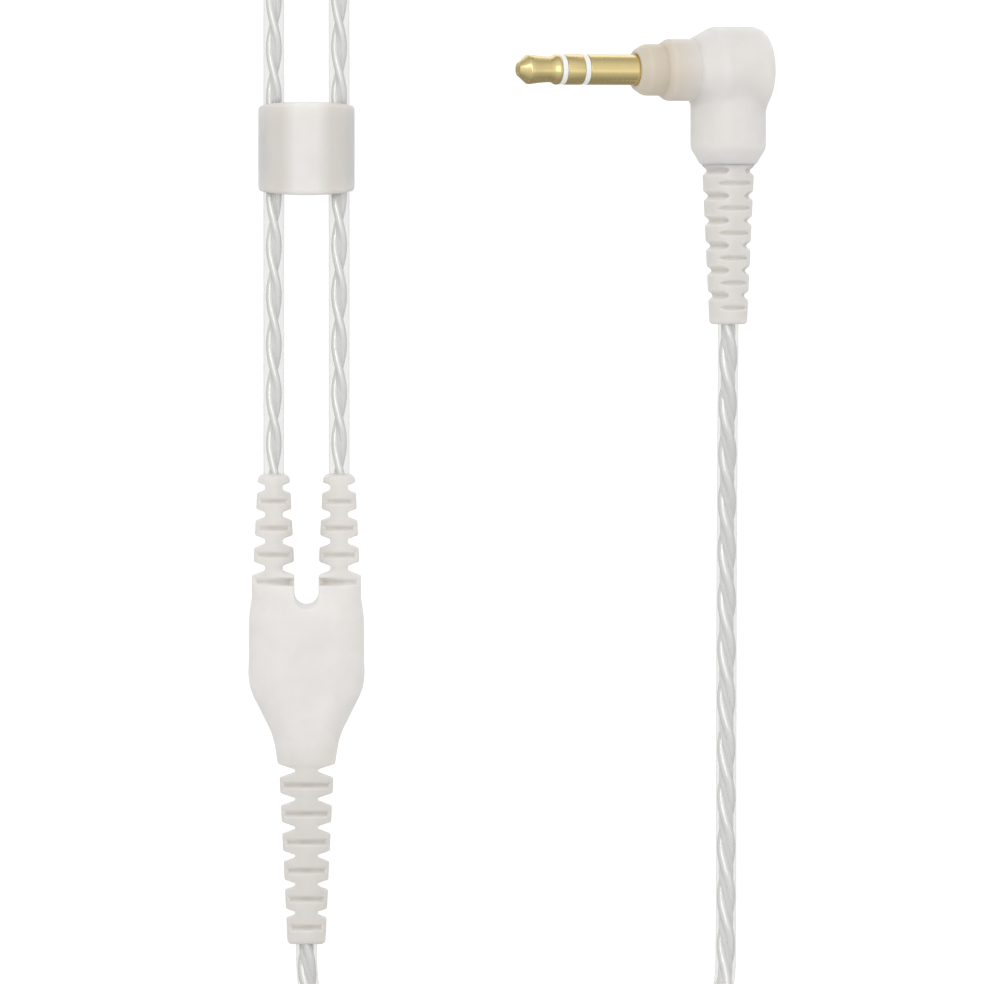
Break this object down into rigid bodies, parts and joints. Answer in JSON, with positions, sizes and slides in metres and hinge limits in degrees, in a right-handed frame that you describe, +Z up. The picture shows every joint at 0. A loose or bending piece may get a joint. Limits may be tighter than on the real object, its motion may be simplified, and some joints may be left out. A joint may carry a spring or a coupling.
{
  "type": "in-ear monitors",
  "caption": "In-ear monitors laid flat: clear earpieces with soft tips on a clear twisted cable with ear guides, chin slider, ribbed Y splitter and right-angle 3.5 mm headphone plug.",
  "frame": {"origin": "under the middle of the Y splitter, on the surface that the object lies on", "axes": "+Y from the splitter through the chin slider towards the earpieces, +Z up from the surface, +X towards the plug"},
  "size_m": [0.0603, 0.2421, 0.0205],
  "materials": {
    "milky_pvc": "satin translucent soft PVC",
    "clear_jacket": "glossy clear PVC",
    "clear_shell": "glossy clear plastic",
    "gold_plate": "polished gold plate",
    "steel": "satin",
    "white_plastic": "satin",
    "silver_wire": "silver-plated copper",
    "copper": "satin copper",
    "silicone": "matte translucent silicone",
    "tie_strap": "matte"
  },
  "bodies": {
    "root": {"splitter_body": "milky_pvc", "splitter_inner_block": "white_plastic", "splitter_wires_left": "silver_wire", "splitter_wires_right": "silver_wire", "plug_housing": "milky_pvc", "plug_boot": "milky_pvc", "plug_tip": "gold_plate", "plug_front_insulator": "white_plastic", "plug_ring_contact": "gold_plate", "plug_rear_insulator": "white_plastic", "plug_sleeve": "gold_plate", "plug_tip_lug": "silver_wire", "plug_ring_lug": "silver_wire", "plug_ground_lug": "silver_wire", "plug_tip_wire": "silver_wire", "plug_ring_wire": "silver_wire", "plug_ground_wire": "silver_wire", "cord_left": "clear_jacket", "cord_right": "clear_jacket", "cord_left_end": "clear_jacket", "cord_right_end": "clear_jacket", "cord_main_start": "clear_jacket", "cord_main_end": "clear_jacket", "coil_main": "clear_jacket", "coil_left": "clear_jacket", "coil_right": "clear_jacket", "coil_tie_main": "tie_strap", "coil_tie_left": "tie_strap", "coil_tie_right": "tie_strap", "ear_guide_left": "clear_jacket", "ear_guide_right": "clear_jacket", "connector_body_left": "clear_shell", "connector_nose_left": "gold_plate", "connector_contact_left": "gold_plate", "connector_body_right": "clear_shell", "connector_nose_right": "gold_plate", "connector_contact_right": "gold_plate"},
    "slider": {"slider": "milky_pvc"},
    "snap_ring_left": {"snap_ring_left": "steel"},
    "earpiece_left": {"outer_shell_left": "clear_shell", "inner_shell_left": "clear_shell", "nozzle_left": "steel", "nozzle_filter_left": "steel", "driver_motor_left": "steel", "driver_front_left": "copper", "socket_left": "gold_plate"},
    "tip_left": {"ear_tip_left": "silicone"},
    "snap_ring_right": {"snap_ring_right": "steel"},
    "earpiece_right": {"outer_shell_right": "clear_shell", "inner_shell_right": "clear_shell", "nozzle_right": "steel", "nozzle_filter_right": "steel", "driver_motor_right": "steel", "driver_front_right": "copper", "socket_right": "gold_plate"},
    "tip_right": {"ear_tip_right": "silicone"}
  },
  "joints": [
    {"name": "slider_slide", "type": "slide", "parent": "root", "child": "slider", "axis": [0, 1, 0], "range_m": [-0.0315, 0.0125]},
    {"name": "swivel_left", "type": "hinge", "parent": "root", "child": "snap_ring_left", "pos_m": [0.002, 0.1515, 0.0054], "axis": [0, 1, 0], "continuous": true},
    {"name": "release_left", "type": "slide", "parent": "snap_ring_left", "child": "earpiece_left", "axis": [0, -1, 0], "range_m": [0, 0.0065]},
    {"name": "tip_release_left", "type": "slide", "parent": "earpiece_left", "child": "tip_left", "axis": [0, -0.342, 0.9397], "range_m": [0, 0.0065]},
    {"name": "swivel_right", "type": "hinge", "parent": "root", "child": "snap_ring_right", "pos_m": [0.0442, 0.1515, 0.0054], "axis": [0, 1, 0], "continuous": true},
    {"name": "release_right", "type": "slide", "parent": "snap_ring_right", "child": "earpiece_right", "axis": [0, -1, 0], "range_m": [0, 0.0065]},
    {"name": "tip_release_right", "type": "slide", "parent": "earpiece_right", "child": "tip_right", "axis": [0, -0.342, 0.9397], "range_m": [0, 0.0065]}
  ]
}
